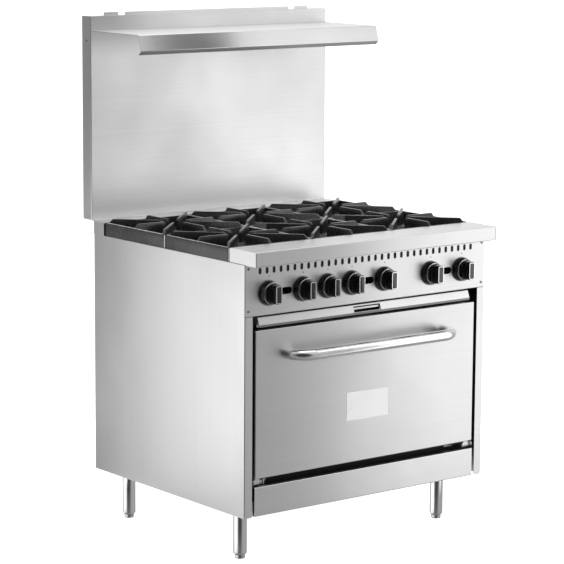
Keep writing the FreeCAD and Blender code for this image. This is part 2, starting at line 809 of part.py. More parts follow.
def make_tray_rails():
    rails = []
    for side in SIDES.values():
        rails.append(fuse(
            mirrored_block(side, 372, INSIDE - 0.3, 90, 755, D.TrayFloor - 2.3, D.TrayFloor - 0.3),
            mirrored_block(side, INSIDE - 2.3, INSIDE - 0.3, 90, 755, D.TrayFloor - 2.3,
                           D.TrayFloor + 16)))
    finish_node(group(*rails), "drip_tray_rails")


# ---------------------------------------------------------------- oven

def make_oven():
    gauge = D.SheetGauge
    front = D.FrameDepth
    back = front + gauge + D.CavityDepth
    wide = D.CavityHalf

    frame = block(-INSIDE + 0.3, INSIDE - 0.3, front, front + gauge, 196, D.DoorTop - 1)
    mouth = block(-wide, wide, front - 1, front + gauge + 1, D.CavityBottom, D.CavityTop)
    finish_node(cut(frame, mouth), "oven_front_frame")

    outer = block(-wide - gauge, wide + gauge, front + gauge, back + gauge, 243,
                  D.CavityTop + gauge)
    inner = block(-wide, wide, front, back, 242, D.CavityTop)
    flue_hole = block(-148, 148, back - 1, back + gauge + 1, 592, 638)
    finish_node(cut(outer, inner, flue_hole), "oven_liner")

    thick = 42
    blanket = block(-wide - gauge - thick, wide + gauge + thick, front + gauge, back + gauge + thick,
                    243, D.CavityTop + gauge + 38)
    hollow = block(-wide - gauge, wide + gauge, front, back + gauge, 242, D.CavityTop + gauge)
    flue_gap = block(-152, 152, back, back + 60, 588, 642)
    finish_node(cut(blanket, hollow, flue_gap), "oven_insulation")

    pan = block(-wide - gauge - thick, wide + gauge + thick, front + gauge, back + gauge + thick,
                D.KickTop, 243)
    air_hole = block(-70, 70, 330, 470, D.KickTop - 1, 244)
    pipe_hole = rod("z", 8, 0, D.GasLineDepth, D.KickTop - 1, 5)
    finish_node(cut(pan, air_hole, pipe_hole), "firebox_floor")

    floor = block(-wide + 20, wide - 20, front + gauge, back - 20, D.CavityBottom - 3,
                  D.CavityBottom)
    legs = [block(x - 1, x + 1, front + 20, back - 40, 243, D.CavityBottom - 3)
            for x in (-D.CavityHalf + 30, D.CavityHalf - 30)]
    finish_node(fuse(floor, *legs), "oven_floor")

    burner = cut(fuse(rod("y", 16, 0, 90, 264, 520), rod("y", 10, 0, 78, 264, 20)),
                 rod("y", 6, 0, 77, 264, 18))
    ports = [rod("x", 2, -30, 130 + 40 * index, 268, 60) for index in range(12)]
    finish_node(cut(burner, *ports), "oven_burner")

    finish_node(make_gas_line(), "oven_gas_line")


def make_gas_line():
    """Tubing from the thermostat to the left wall, down beside the oven and in to its burner."""
    radius = 5
    start_x, start_y, start_z = D.ThermostatX, 52, D.KnobHeight + 45.3
    wall_x, y = -HALF + 22, D.GasLineDepth
    top, low, burner = D.KnobHeight + 56, D.GasLineHeight, 264
    runs = [rod("z", radius, start_x, start_y, start_z, top - start_z),
            rod("y", radius, start_x, start_y, top, y - start_y),
            rod("x", radius, wall_x, y, top, start_x - wall_x),
            rod("z", radius, wall_x, y, low, top - low),
            rod("x", radius, wall_x, y, low, -wall_x),
            rod("z", radius, 0, y, low, burner - low),
            rod("y", radius, 0, y, burner, 8)]
    elbows = [ball(radius, start_x, start_y, top), ball(radius, start_x, y, top),
              ball(radius, wall_x, y, top), ball(radius, wall_x, y, low), ball(radius, 0, y, low),
              ball(radius, 0, y, burner)]
    return fuse(*runs, *elbows)


def make_rack():
    """A wire oven rack with its side guides."""
    level = 455
    half, front, back = 328, 75, 695
    wires = [rod("y", 2.5, x, front, level, back - front) for x in range(-300, 301, 40)]
    wires += [rod("x", 4, -half, y, level, 2 * half) for y in (front, 385, back)]
    wires += [rod("y", 4, x, front, level, back - front) for x in (-half, half)]
    wires += [ball(4, x, y, level) for x in (-half, half) for y in (front, back)]
    finish_node(fuse(*wires), "oven_rack")
    post = D.CavityHalf - 3
    guides = []
    for side in SIDES.values():
        guides += [mirrored_block(side, 322, post, 65, 700, height - 2, height)
                   for height in (380, 450.7, 520, 590)]
        guides += [mirrored_block(side, post, D.CavityHalf - 0.2, y, y + 12, 370, 600)
                   for y in (90, 380, 670)]
    finish_node(group(*guides), "rack_guides")


def make_gasket():
    ring = cut(block(-D.CavityHalf - 16, D.CavityHalf + 16, D.DoorDepth + 0.4, D.FrameDepth,
                     D.CavityBottom - 14, D.CavityTop + 16),
               block(-D.CavityHalf - 4, D.CavityHalf + 4, D.DoorDepth - 1, D.FrameDepth + 1,
                     D.CavityBottom - 4, D.CavityTop + 4))
    finish_node(ring, "door_gasket")


def make_flue():
    """Throat from the oven's back wall, and the chimney behind the body that feeds the riser."""
    gauge = D.SheetGauge
    throat_start = D.FrameDepth + gauge * 2 + D.CavityDepth
    outer = fuse(block(-150, 150, throat_start, D.BodyDepth + 5, 590, 640),
                 block(-220, 220, D.BodyDepth + 0.3, 816, 575, D.RiserBottom - 0.3))
    inner = [block(-150 + gauge, 150 - gauge, throat_start - 1, D.BodyDepth + 6,
                   590 + gauge, 640 - gauge),
             block(-220 + gauge, 220 - gauge, D.BodyDepth + 0.3 + gauge, 816 - gauge,
                   575 + gauge, D.RiserBottom + 1)]
    finish_node(cut(outer, *inner), "flue_duct")

    brackets = []
    for side in SIDES.values():
        brackets.append(fuse(
            mirrored_block(side, 300, 350, D.BodyDepth + 0.3, D.BodyDepth + 4.3, 780,
                           D.RiserBottom - 0.3),
            mirrored_block(side, 300, 350, D.BodyDepth + 0.3, 822, D.RiserBottom - 4.3,
                           D.RiserBottom - 0.3),
            mirrored_block(side, 323, 327, D.BodyDepth + 4, 800, 880, D.RiserBottom - 4)))
    finish_node(group(*brackets), "riser_brackets")


# ---------------------------------------------------------------- riser and shelf

def make_riser():
    gauge = D.SheetGauge
    half, front = D.RiserHalf, D.RiserFront
    back = front + D.RiserDepth
    body = new_body("backguard_front_sheet")
    sketch = sketch_on(body, "XY_Plane", D.RiserBottom)
    line = [(-half, back - gauge), (-half, front), (half, front), (half, back - gauge)]
    outline(sketch, folded_strip(line, gauge))
    wall = pad(body, sketch, D.RiserTop - D.RiserBottom)
    round_bends(body, wall, Vector(0, 0, 1))
    floor = cut(block(-half + gauge, half - gauge, front + gauge, back - gauge,
                      D.RiserBottom, D.RiserBottom + gauge),
                block(-216, 216, front + gauge + 1, back - gauge - 12, D.RiserBottom - 1,
                      D.RiserBottom + gauge + 1))
    finish_node(fuse(body, floor), "backguard_front")
    finish_node(group(block(-half, half, back - gauge, back, D.RiserBottom, D.RiserTop)),
                "backguard_back")
    rib_y = front + 19
    cap = fuse(
        cut(block(-half + 3, half - 3, front + gauge + 0.2, back - gauge - 0.2,
                  D.RiserTop - gauge, D.RiserTop),
            block(-300, 300, rib_y + 5, back - 8, D.RiserTop - 5, D.RiserTop + 5)),
        block(-317, 317, rib_y, rib_y + gauge, D.RiserTop - gauge, D.RiserTop + D.RibHeight),
        block(-395, -342, rib_y, rib_y + gauge, D.RiserTop - gauge, D.RiserTop + D.RibHeight),
        block(342, 395, rib_y, rib_y + gauge, D.RiserTop - gauge, D.RiserTop + D.RibHeight))
    finish_node(cap, "backguard_cap")


def make_shelf():
    """The high shelf: flat top, a front flange that leans outwards, and a hem folded back under."""
    gauge = D.SheetGauge
    back = D.RiserFront - 0.2
    nose = D.ShelfFront - D.ShelfLean
    low = D.ShelfTop - D.ShelfDrop
    body = new_body("high_shelf")
    sketch = sketch_on(body, "YZ_Plane")
    outline(sketch, [
        (back, D.ShelfTop - 30), (back, D.ShelfTop), (D.ShelfFront, D.ShelfTop), (nose, low),
        (nose + 13, low - 12), (nose + 13 + gauge * 0.65, low - 12 + gauge * 0.75),
        (nose + gauge * 1.2, low + gauge * 0.3), (D.ShelfFront + gauge * 0.75, D.ShelfTop - gauge),
        (back - gauge, D.ShelfTop - gauge), (back - gauge, D.ShelfTop - 30),
    ])
    wall = pad(body, sketch, D.ShelfHalf * 2, both_ways=True)
    round_bends(body, wall, Vector(1, 0, 0))
    finish_node(body, "high_shelf")


# ---------------------------------------------------------------- door

def make_door():
    gauge = D.SheetGauge
    half, low, high = D.DoorHalf, D.DoorBottom, D.DoorTop
    body = new_body("door_outer_pan")
    sketch = sketch_on(body, "XZ_Plane")
    rectangle(sketch, -half, half, low, high)
    slab = pad(body, sketch, D.DoorPanDepth, backwards=True)
    round_edges(body, slab, D.BendRadius,
                lambda edge, middle, way: abs(middle.y) < 0.1 or abs(way.y) > 0.99)
    sketch = sketch_on(body, "XZ_Plane", -gauge)
    rectangle(sketch, -half + gauge, half - gauge, low + gauge, high - gauge)
    pocket(body, sketch, D.DoorPanDepth)
    finish_node(body, "door_outer_panel")

    plate = block(-half + 2, half - 2, D.DoorPanDepth + 0.1, D.DoorPanDepth + 0.1 + gauge,
                  low + 2, high - 2)
    plug = block(-366, 366, D.DoorPanDepth + 0.5, D.DoorDepth, low + 8, high - 22)
    hollow = block(-366 + gauge, 366 - gauge, D.DoorPanDepth, D.DoorDepth - gauge,
                   low + 8 + gauge, high - 22 - gauge)
    finish_node(cut(fuse(plate, plug), hollow), "door_liner")
    finish_node(group(block(-half + 8, half - 8, gauge + 0.3, D.DoorPanDepth - 0.1,
                            low + 6, high - 6)), "door_insulation")

    badge_low = D.BadgeCentre - D.BadgeHeight / 2
    badge = block(-D.BadgeWidth / 2, D.BadgeWidth / 2, -D.BadgeGauge, 0,
                  badge_low, badge_low + D.BadgeHeight)
    finish_node(group(badge), "door_badge")
    make_handle()


def make_handle():
    """A round bar bent forwards and along the door in one piece."""
    body = new_body("door_handle")
    bend, reach, half = D.HandleBend, D.HandleReach, D.HandleHalf
    turn = half - bend
    path = sketch_on(body, "XY_Plane", D.HandleHeight)
    outline(path, [(-half, 0), (-half, bend - reach), (-turn, -reach), (turn, -reach),
                   (half, bend - reach), (half, 0)],
            {1: {"u": -turn, "v": bend - reach, "hold": "u"},
             3: {"u": turn, "v": bend - reach, "hold": "u"}}, closed=False)
    section = sketch_on(body, "XZ_Plane")
    circle(section, -half, D.HandleHeight, D.HandleRadius)
    pipe = body.newObject("PartDesign::AdditivePipe", "AdditivePipe")
    pipe.Profile = section
    pipe.Spine = path
    finish_node(body, "door_handle")


def make_hinges():
    """Pivot pins in fixed brackets, knuckles on the door, and a torsion spring beside each."""
    y, z = D.PivotDepth, D.PivotHeight
    brackets = []
    arms = []
    springs = []
    for side in SIDES.values():
        centre = D.HingeX * side
        ears = []
        for x in (centre - 18.5, centre + 15.5):
            ears += [rod("x", 9.5, x, y, z, 3),
                     block(x, x + 3, y, D.FrameDepth - 1, z - 9.5, z + 9.5)]
        plate = mirrored_block(side, D.HingeX - 57, D.HingeX + 43, D.FrameDepth - 4,
                               D.FrameDepth - 0.2, z - 9.5, z + 9.5)
        pin = rod("x", D.PinRadius, centre - 21, y, z, 42)
        head = rod("x", D.PinRadius + 2, centre - 21, y, z, 2)
        brackets.append(fuse(*ears, plate, pin, head))
        knuckle = fuse(rod("x", 8.5, centre - 15, y, z, 18),
                       block(centre - 15, centre + 3, y - 8.5, y + 8.5, z, D.DoorBottom - 0.1))
        arms.append(cut(knuckle, rod("x", D.PinRadius + 0.05, centre - 16, y, z, 20)))
        springs.append(cut(rod("x", 8, centre + 4, y, z, 10), rod("x", 5.5, centre + 3, y, z, 12)))
    finish_node(group(*brackets), "hinge_brackets")
    finish_node(group(*arms), "hinge_knuckles")
    finish_node(group(*springs), "door_springs")


def make_kick_panel():
    gauge = D.SheetGauge
    body = new_body("kick_panel")
    sketch = sketch_on(body, "YZ_Plane")
    line = [(15, D.LegHeight), (0, D.LegHeight), (0, D.KickTop), (15, D.KickTop)]
    outline(sketch, folded_strip(line[::-1], gauge))
    wall = pad(body, sketch, D.KickHalf * 2, both_ways=True)
    round_bends(body, wall, Vector(1, 0, 0))
    finish_node(body, "kick_panel")


def make_screws():
    """Button heads on the control panel corners, the riser's sides and the back panel."""
    screws = []
    for side in SIDES.values():
        for z in (877, 755):
            screws.append(rod("y", 4, side * 444, -1.8, z, 1.8))
        start = D.RiserHalf if side > 0 else -D.RiserHalf - 0.2
        screws.append(rod("x", 4, start, 801, 1476, 0.2))
        for z in (230, 520, 860):
            screws.append(rod("y", 4, side * 444.5, D.BodyDepth, z, 2))
    finish_node(group(*screws), "panel_screws")


for side_name, side_sign in SIDES.items():
    make_side_panel(side_name, side_sign)
make_back_panel()
make_base_frame()
make_legs()
for side_name, side_sign in SIDES.items():
    make_foot(f"front_{side_name}", side_sign, D.LegFront)
    make_foot(f"rear_{side_name}", side_sign, D.LegRear)
make_front_ledge()
make_rear_trim()
make_top_rails()
make_control_panel()
for knob_label, knob_x in KNOB_PLACES.items():
    make_knob(knob_label, knob_x)
make_valves()
make_manifold()
make_burners()
for column_name, column_x in COLUMNS.items():
    for row_name, row_y in ROWS.items():
        make_grate(f"grate_{column_name}_{row_name}", column_x, row_y)
make_drip_tray()
make_tray_rails()
make_oven()
make_rack()
make_gasket()
make_flue()
make_riser()
make_shelf()
make_door()
make_hinges()
make_kick_panel()
make_screws()
doc.recompute()

for obj in doc.Objects:
    if {"Invalid", "Error"} & set(obj.State):
        raise RuntimeError(f"{obj.Label} ({obj.TypeId}) failed: {obj.State}")
for node in nodes:
    if node.Shape.isNull() or not node.Shape.isValid() or not node.Shape.Solids:
        raise RuntimeError(f"{node.Label} has no sound shape")

os.makedirs("parts", exist_ok=True)
for node in nodes:
    node.Shape.exportStep(os.path.join("parts", f"{node.Label}.step"))
print(f"{len(nodes)} sub-parts written")
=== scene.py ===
import json
import math

import bmesh
import bpy
from mathutils import Matrix, Vector, noise


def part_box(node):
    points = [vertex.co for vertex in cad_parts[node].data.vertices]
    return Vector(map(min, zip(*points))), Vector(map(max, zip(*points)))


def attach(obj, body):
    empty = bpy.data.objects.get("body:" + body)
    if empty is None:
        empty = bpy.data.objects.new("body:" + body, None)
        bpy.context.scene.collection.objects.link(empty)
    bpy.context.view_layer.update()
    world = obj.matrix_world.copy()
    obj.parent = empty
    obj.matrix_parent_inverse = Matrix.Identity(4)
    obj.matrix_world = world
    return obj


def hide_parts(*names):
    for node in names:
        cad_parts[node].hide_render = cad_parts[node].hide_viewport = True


# A 36 inch commercial gas range. Everything is in metres, in the frame of the CAD model: X to the
# right, Y to the back, Z up. FRONT is the front plane of the cabinet, which most depths start from.

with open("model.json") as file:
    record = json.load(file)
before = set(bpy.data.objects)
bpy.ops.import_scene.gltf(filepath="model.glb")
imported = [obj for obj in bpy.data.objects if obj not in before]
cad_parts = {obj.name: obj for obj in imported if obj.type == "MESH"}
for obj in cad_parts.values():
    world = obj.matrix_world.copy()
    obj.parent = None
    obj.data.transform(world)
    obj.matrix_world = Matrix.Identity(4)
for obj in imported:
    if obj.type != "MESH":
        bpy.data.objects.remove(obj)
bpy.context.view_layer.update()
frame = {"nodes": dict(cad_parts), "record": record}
nodes = frame["nodes"]

FRONT = -0.375
BACK = FRONT + 0.768
SIDES = (-1, 1)

# six burners in three columns and two rows, each with a grate over it and a knob in front
COLUMNS = {"left": -0.305, "centre": 0.0, "right": 0.305}
ROWS = {"front": FRONT + 0.2335, "rear": FRONT + 0.5515}
GRATE_RIM = 0.041

# a column's two knobs stand either side of a line just left of its burners
KNOB_HEIGHT = 0.8024
KNOB_SHIFT = -0.004
KNOB_OFFSET = 0.062
THERMOSTAT_X = -0.1565

LEG_X = 0.382
LEG_ROWS = {"front": FRONT + 0.118, "rear": FRONT + 0.693}

# vertices closer than this are one, and edges sharper than this stay sharp
WELD = 1e-6
SMOOTH_DEGREES = 34


def placed(name, data):
    """A new object of a mesh, light or camera, in the scene."""
    made = bpy.data.objects.new(name, data)
    bpy.context.scene.collection.objects.link(made)
    return made


# ---------------------------------------------------------------- camera

def make_camera():
    """A long lens at the range's left front, looking down from a little above its top."""
    yaw, pitch, roll = (math.radians(angle) for angle in (-37.927, -9.404, 0.359))
    forward = Vector((-math.sin(yaw) * math.cos(pitch), math.cos(yaw) * math.cos(pitch),
                      math.sin(pitch)))
    level = Vector((math.cos(yaw), math.sin(yaw), 0))
    upright = level.cross(forward)
    right = level * math.cos(roll) + upright * math.sin(roll)
    up = upright * math.cos(roll) - level * math.sin(roll)
    data = bpy.data.cameras.new("camera")
    data.sensor_width = 36
    data.lens = 154.38
    camera = placed("camera", data)
    turn = Matrix((right, up, -forward)).transposed().to_4x4()
    camera.matrix_world = Matrix.Translation((-4.504934, -5.739687, 1.955774)) @ turn
    bpy.context.scene.camera = camera


# ---------------------------------------------------------------- materials

class Nodes:
    """The nodes of a material or a world."""

    def __init__(self, owner):
        owner.use_nodes = True
        self.tree = owner.node_tree
        self.tree.nodes.clear()

    def add(self, kind, **settings):
        node = self.tree.nodes.new(kind)
        for key, value in settings.items():
            setattr(node, key, value)
        return node

    def link(self, start, end):
        self.tree.links.new(start, end)

    def spread(self, value, low, high, from_low=0.3, from_high=0.7):
        """The value's range from_low to from_high, stretched over low to high and held there."""
        ranged = self.add("ShaderNodeMapRange")
        for key, number in (("From Min", from_low), ("From Max", from_high),
                            ("To Min", low), ("To Max", high)):
            ranged.inputs[key].default_value = number
        self.link(value, ranged.inputs["Value"])
        return ranged.outputs[0]


class Graph(Nodes):
    """A material's nodes: a Principled surface, and textures laid out in object coordinates."""

    def __init__(self, name):
        self.material = bpy.data.materials.new(name)
        super().__init__(self.material)
        self.shader = self.add("ShaderNodeBsdfPrincipled")
        output = self.add("ShaderNodeOutputMaterial")
        self.link(self.shader.outputs[0], output.inputs["Surface"])
        self.place = self.add("ShaderNodeTexCoord").outputs["Object"]

    def set(self, **values):
        for key, value in values.items():
            self.shader.inputs[key.replace("_", " ")].default_value = value
        return self

    def stretched(self, scale):
        mapping = self.add("ShaderNodeMapping")
        mapping.inputs["Scale"].default_value = scale
        self.link(self.place, mapping.inputs["Vector"])
        return mapping.outputs[0]

    def noise(self, scale, detail=3.0, rough=0.55):
        texture = self.add("ShaderNodeTexNoise")
        texture.inputs["Scale"].default_value = 1.0
        texture.inputs["Detail"].default_value = detail
        texture.inputs["Roughness"].default_value = rough
        if isinstance(scale, (int, float)):
            scale = (scale,) * 3
        self.link(self.stretched(scale), texture.inputs["Vector"])
        return texture.outputs["Fac"]

    def cells(self, scale):
        texture = self.add("ShaderNodeTexVoronoi")
        texture.inputs["Scale"].default_value = scale
        self.link(self.place, texture.inputs["Vector"])
        return texture

    def blend(self, factor, dark, light):
        """Dark where the factor is 0 and light where it is 1; each is a colour or an output."""
        mix = self.add("ShaderNodeMix", data_type="RGBA")
        self.link(factor, mix.inputs["Factor"])
        for socket, colour in ((mix.inputs[6], dark), (mix.inputs[7], light)):
            if isinstance(colour, tuple):
                socket.default_value = (*colour, 1)
            else:
                self.link(colour, socket)
        return mix.outputs[2]

    def bump(self, height, strength, distance):
        node = self.add("ShaderNodeBump")
        node.inputs["Strength"].default_value = strength
        node.inputs["Distance"].default_value = distance
        self.link(height, node.inputs["Height"])
        self.link(node.outputs[0], self.shader.inputs["Normal"])
        return self

    def colour(self, output):
        self.link(output, self.shader.inputs["Base Color"])
        return self

    def rough(self, output):
        self.link(output, self.shader.inputs["Roughness"])
        return self


def grey(level, warmth=0.0):
    """A grey, with its red raised and its blue lowered by the warmth."""
    return (level * (1 + warmth), level, level * (1 - warmth))


def brushed(name, level, roughness, grain, warmth=0.0):
    """Brushed sheet: fine streaks along the grain axis, and broad, faint smudges in the gloss."""
    graph = Graph(name).set(Metallic=1.0)
    fine = tuple(1.5 if axis == grain else 520.0 for axis in "xyz")
    coarse = tuple(0.8 if axis == grain else 90.0 for axis in "xyz")
    streaks = graph.noise(fine, detail=2.0)
    bands = graph.noise(coarse, detail=2.0)
    smudges = graph.noise(3.0, detail=4.0)
    tone = graph.blend(graph.spread(streaks, 0, 1), grey(level * 0.97, warmth),
                       grey(level * 1.03, warmth))
    graph.colour(graph.blend(graph.spread(bands, 0, 0.2), tone, grey(level * 0.95, warmth)))
    graph.rough(graph.spread(smudges, roughness * 0.86, roughness * 1.12))
    return graph.bump(streaks, 0.07, 0.00006).material


def polished(name, level, roughness):
    """Bright metal, a little smudged and finely scratched."""
    graph = Graph(name).set(Metallic=1.0)
    smudges = graph.noise(22.0, detail=5.0)
    scratches = graph.noise((9.0, 300.0, 300.0), detail=2.0)
    graph.colour(graph.blend(graph.spread(smudges, 0, 1), grey(level * 0.96), grey(level)))
    graph.rough(graph.spread(smudges, roughness * 0.7, roughness * 1.5))
    return graph.bump(scratches, 0.08, 0.00005).material


def brass(name):
    """Rough-turned brass, dulled in patches."""
    graph = Graph(name).set(Metallic=1.0)
    tarnish = graph.noise(40.0, detail=5.0)
    graph.colour(graph.blend(graph.spread(tarnish, 0, 1), (0.42, 0.27, 0.10), (0.70, 0.52, 0.24)))
    graph.rough(graph.spread(tarnish, 0.42, 0.24))
    return graph.bump(graph.noise(220.0), 0.1, 0.0001).material


def cast(name, dark, light, roughness, grain=420.0, depth=0.00035):
    """Sand-cast iron: a pebbled skin with patches that are rubbed a little brighter."""
    graph = Graph(name).set(Metallic=0.0, Specular_IOR_Level=0.5)
    pebbles = graph.noise(grain, detail=3.0)
    patches = graph.noise(26.0, detail=4.0)
    graph.colour(graph.blend(graph.spread(patches, 0, 1), grey(dark), grey(light)))
    graph.rough(graph.spread(pebbles, roughness * 0.82, roughness * 1.18))
    return graph.bump(pebbles, 0.45, depth).material


def painted(name, dark, light, roughness):
    """Paint with a slight orange peel."""
    graph = Graph(name).set(Metallic=0.0)
    peel = graph.noise(260.0, detail=2.0)
    patches = graph.noise(7.0, detail=4.0)
    graph.colour(graph.blend(graph.spread(patches, 0, 1), dark, light))
    graph.rough(graph.spread(patches, roughness * 0.85, roughness * 1.15))
    return graph.bump(peel, 0.15, 0.0001).material


def enamel(name):
    """Dark porcelain enamel with fine pale speckles."""
    graph = Graph(name).set(Metallic=0.0)
    specks = graph.cells(300.0).outputs["Distance"]
    patches = graph.noise(11.0)
    ground = graph.blend(graph.spread(patches, 0, 1), (0.020, 0.021, 0.026), (0.034, 0.035, 0.042))
    graph.colour(graph.blend(graph.spread(specks, 1, 0, 0.10, 0.22), ground, (0.42, 0.43, 0.46)))
    graph.rough(graph.spread(patches, 0.18, 0.34))
    return graph.bump(graph.noise(160.0), 0.12, 0.0002).material


def zinc(name):
    """Galvanised sheet with its crystal spangle."""
    graph = Graph(name).set(Metallic=0.9)
    spangle = graph.cells(55.0)
    crystal = graph.add("ShaderNodeSeparateColor")
    graph.link(spangle.outputs["Color"], crystal.inputs[0])
    graph.colour(graph.blend(crystal.outputs[0], (0.44, 0.46, 0.48), (0.60, 0.61, 0.62)))
    graph.rough(graph.spread(crystal.outputs[1], 0.38, 0.56, 0.0, 1.0))
    return graph.bump(graph.noise(300.0), 0.1, 0.0001).material


def fibres(name, dark, light):
    """Mineral wool: tangled fibres with paler clumps."""
    graph = Graph(name).set(Metallic=0.0, Sheen_Weight=0.3, Sheen_Roughness=0.5)
    tangle = graph.noise(160.0, detail=6.0, rough=0.7)
    clumps = graph.noise(18.0, detail=4.0)
    tone = graph.blend(graph.spread(tangle, 0, 1), dark, light)
    graph.colour(graph.blend(graph.spread(clumps, 0, 0.4), tone, light))
    graph.rough(graph.spread(tangle, 0.82, 0.97))
    return graph.bump(tangle, 0.8, 0.002).material


def woven(name, dark, light):
    """Braided glass yarn: two crossed sets of diagonal ribs."""
    graph = Graph(name).set(Metallic=0.0, Sheen_Weight=0.25, Sheen_Roughness=0.4)
    ribs = []
    for turn in (45, -45):
        mapping = graph.add("ShaderNodeMapping")
        mapping.inputs["Rotation"].default_value = (0.3, math.radians(turn), math.radians(turn))
        graph.link(graph.place, mapping.inputs["Vector"])
        wave = graph.add("ShaderNodeTexWave", bands_direction="X")
        wave.inputs["Scale"].default_value = 110.0
        wave.inputs["Distortion"].default_value = 0.6
        graph.link(mapping.outputs[0], wave.inputs["Vector"])
        ribs.append(wave.outputs["Fac"])
    braid = graph.add("ShaderNodeMath", operation="MAXIMUM")
    for index, rib in enumerate(ribs):
        graph.link(rib, braid.inputs[index])
    graph.colour(graph.blend(braid.outputs[0], dark, light))
    graph.rough(graph.spread(braid.outputs[0], 0.95, 0.8, 0.0, 1.0))
    return graph.bump(braid.outputs[0], 0.7, 0.0008).material


def moulded(name, level, roughness):
    """Polished phenolic: nearly black, with faint rubbed haze."""
    graph = Graph(name).set(Metallic=0.0, Coat_Weight=0.5, Coat_Roughness=0.08)
    haze = graph.noise(60.0, detail=5.0)
    graph.colour(graph.blend(graph.spread(haze, 0, 1), grey(level * 0.8), grey(level * 1.3)))
    graph.rough(graph.spread(haze, roughness * 0.8, roughness * 1.5))
    return graph.bump(graph.noise(700.0), 0.05, 0.00005).material


MATERIALS = {
    "front_stainless": brushed("front_stainless", 0.66, 0.34, "x"),
    "door_stainless": brushed("door_stainless", 0.64, 0.34, "x"),
    "side_stainless": brushed("side_stainless", 0.68, 0.38, "z"),
    "riser_stainless": brushed("riser_stainless", 0.72, 0.42, "x"),
    "tray_stainless": brushed("tray_stainless", 0.66, 0.34, "x"),
    # darkened steel: the dark seams at the ledge's ends, and painted shade on the tray's hem
    "seam_and_shade_steel": brushed("seam_and_shade_steel", 0.24, 0.45, "x"),
    # pale iron for the strips of painted highlight along the grates' edges
    "highlight_iron": cast("highlight_iron", 0.46, 0.62, 0.36, depth=0.0001),
    "galvanised": zinc("galvanised"),
    "chassis_steel": brushed("chassis_steel", 0.42, 0.48, "x"),
    # near-black paint of the frame; the scoop's lining and the strip behind the vent slots use it as
    # painted shade
    "frame_dark": painted("frame_dark", (0.006, 0.006, 0.006), (0.016, 0.015, 0.014), 0.6),
    "oven_enamel": enamel("oven_enamel"),
    "insulation": fibres("insulation", (0.50, 0.42, 0.25), (0.80, 0.74, 0.56)),
    "gasket": woven("gasket", (0.10, 0.095, 0.09), (0.36, 0.35, 0.33)),
    "grate_iron": cast("grate_iron", 0.020, 0.036, 0.27, depth=0.0002),
    "burner_iron": cast("burner_iron", 0.03, 0.07, 0.62, grain=300.0, depth=0.0005),
    "tubing_aluminium": polished("tubing_aluminium", 0.72, 0.3),
    "pipe_black": painted("pipe_black", (0.012, 0.012, 0.013), (0.03, 0.03, 0.03), 0.45),
    "valve_brass": brass("valve_brass"),
    "knob_plastic": moulded("knob_plastic", 0.004, 0.08),
    "handle_chrome": polished("handle_chrome", 0.88, 0.18),
    "leg_steel": polished("leg_steel", 0.76, 0.17),
    "foot_steel": brushed("foot_steel", 0.60, 0.32, "z"),
    "rack_wire": polished("rack_wire", 0.74, 0.16),
    "hinge_steel": brushed("hinge_steel", 0.62, 0.4, "y", warmth=0.02),
    "screw_steel": polished("screw_steel", 0.30, 0.3),
    "badge_plate": painted("badge_plate", (0.68, 0.68, 0.68), (0.73, 0.73, 0.73), 0.3),
}


# ---------------------------------------------------------------- mesh helpers

def ring(bm, centre, u, v, radius, sides):
    """A circle of vertices about a centre, or a single one where the radius is nothing."""
    if radius < 1e-7:
        return [bm.verts.new(centre)]
    return [bm.verts.new(centre + (u * math.cos(a) + v * math.sin(a)) * radius)
            for a in (2 * math.pi * i / sides for i in range(sides))]


def skin(bm, rings, closed=False):
    """Faces from each ring to the next, with a fan where one of them is a single point."""
    pairs = list(zip(rings, rings[1:] + rings[:1] if closed else rings[1:]))
    for low, high in pairs:
        count = max(len(low), len(high))
        for i in range(count):
            j = (i + 1) % count
            corners = [low[i % len(low)], low[j % len(low)], high[j % len(high)], high[i % len(high)]]
            corners = list(dict.fromkeys(corners))
            if len(corners) > 2:
                bm.faces.new(corners)


def cap(bm, verts):
    if len(verts) > 2:
        bm.faces.new(verts)


def cap_ends(bm, rings):
    cap(bm, rings[0][::-1])
    cap(bm, rings[-1])


def weld(bm):
    bmesh.ops.remove_doubles(bm, verts=bm.verts, dist=WELD)


# for each axis, two directions across it and the one along it
AXES = {
    "z": (Vector((1, 0, 0)), Vector((0, 1, 0)), Vector((0, 0, 1))),
    "-y": (Vector((1, 0, 0)), Vector((0, 0, 1)), Vector((0, -1, 0))),
    "y": (Vector((0, 0, 1)), Vector((1, 0, 0)), Vector((0, 1, 0))),
    "x": (Vector((0, 1, 0)), Vector((0, 0, 1)), Vector((1, 0, 0))),
    "-x": (Vector((0, 0, 1)), Vector((0, 1, 0)), Vector((-1, 0, 0))),
}


def lathe(bm, profile, centre, axis="z", sides=64, ends=True):
    """Turns a profile of (radius, height) steps about an axis through centre."""
    u, v, along = AXES[axis]
    rings = [ring(bm, Vector(centre) + along * height, u, v, radius, sides)
             for radius, height in profile]
    skin(bm, rings)
    if ends:
        cap_ends(bm, rings)


def bent(corners, bend, steps=12):
    """The centre line of a bent tube: its corners turned into arcs of the bend radius."""
    corners = [Vector(corner) for corner in corners]
    points = [corners[0]]
    for before, corner, after in zip(corners, corners[1:], corners[2:]):
        back, on = (before - corner).normalized(), (after - corner).normalized()
        half = back.angle(on) / 2
        centre = corner + (back + on).normalized() * (bend / math.sin(half))
        start = corner + back * (bend / math.tan(half)) - centre
        end = corner + on * (bend / math.tan(half)) - centre
        turn = start.angle(end)
        for step in range(steps + 1):
            part = step / steps
            points.append(centre + (start * math.sin((1 - part) * turn)
                                    + end * math.sin(part * turn)) / math.sin(turn))
    return points + [corners[-1]]


